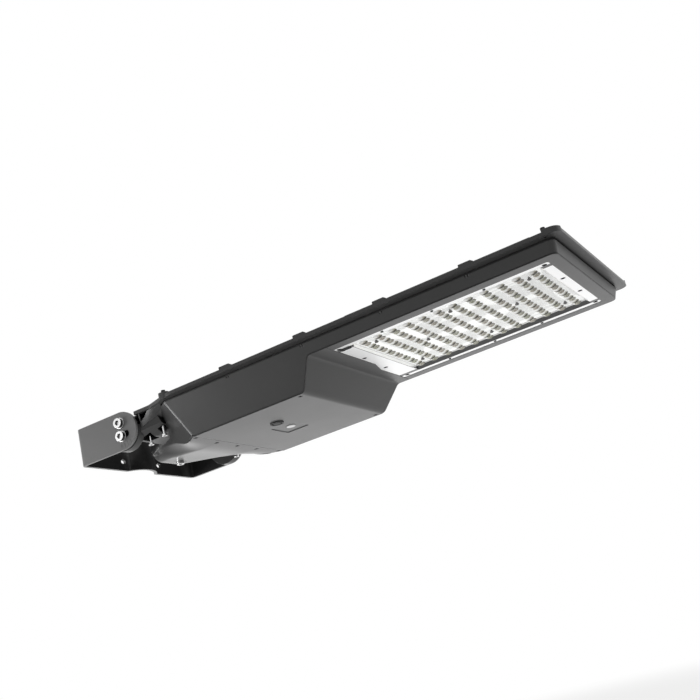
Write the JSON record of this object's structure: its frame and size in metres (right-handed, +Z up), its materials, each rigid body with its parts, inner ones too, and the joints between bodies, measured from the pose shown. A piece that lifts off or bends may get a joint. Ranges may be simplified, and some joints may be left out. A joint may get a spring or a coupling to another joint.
{
  "type": "led street light head",
  "caption": "Long flat LED street light head with a stepped driver bay, domed lens board and a tilting steel pole bracket.",
  "frame": {"origin": "centre of the rear face of the bracket's web, between the four pole slots", "axes": "+X along the head from the pole to its tip, +Y across the head, +Z up; light leaves towards -Z"},
  "size_m": [0.8723, 0.3394, 0.0926],
  "materials": {
    "head_casting": "fine satin dark grey powder coat",
    "bracket_steel": "satin grey powder coat",
    "bright_aluminium": "bright sheet",
    "stainless": "machined stainless",
    "dark_screw": "black oxide",
    "black_rubber": "matt",
    "black_plastic": "fine grain",
    "pale_plastic": "smooth",
    "white_board": "white solder mask",
    "led_emitter": "phosphor",
    "lens_plastic": "clear moulded",
    "driver_case": "plain case"
  },
  "bodies": {
    "bracket": {"bracket": "bracket_steel"},
    "head": {"neck": "head_casting", "housing": "head_casting", "led_frame": "head_casting", "top_cover": "head_casting", "cover_gasket": "black_rubber", "top_cover_screws": "stainless", "corner_screws": "dark_screw", "driver_cover": "head_casting", "driver_cover_gasket": "black_rubber", "driver_cover_screws": "dark_screw", "neck_face_screws": "dark_screw", "neck_side_screws": "stainless", "nose_screw": "stainless", "vent_plug": "black_plastic", "status_window": "pale_plastic", "led_tray": "bright_aluminium", "tray_screws": "dark_screw", "tray_studs": "black_plastic", "lead_grommet": "black_rubber", "led_board": "white_board", "led_chips": "led_emitter", "lens_panel": "lens_plastic", "lens_gasket": "black_rubber", "lens_screws": "stainless", "heat_spreader": "bright_aluminium", "gear_tray": "bright_aluminium", "led_driver": "driver_case", "driver_screws": "stainless", "surge_protector": "pale_plastic", "terminal_block": "pale_plastic", "cable_gland": "black_plastic", "pivot_bolts": "stainless", "pivot_washers": "stainless", "pivot_nuts": "stainless", "lock_bolts": "stainless", "lock_washers": "stainless", "lock_nuts": "stainless"}
  },
  "joints": [
    {"name": "head_tilt", "type": "hinge", "parent": "bracket", "child": "head", "pos_m": [0.0944, 0, 0.013], "axis": [0, -1, 0], "range_deg": [-10, 25]}
  ]
}
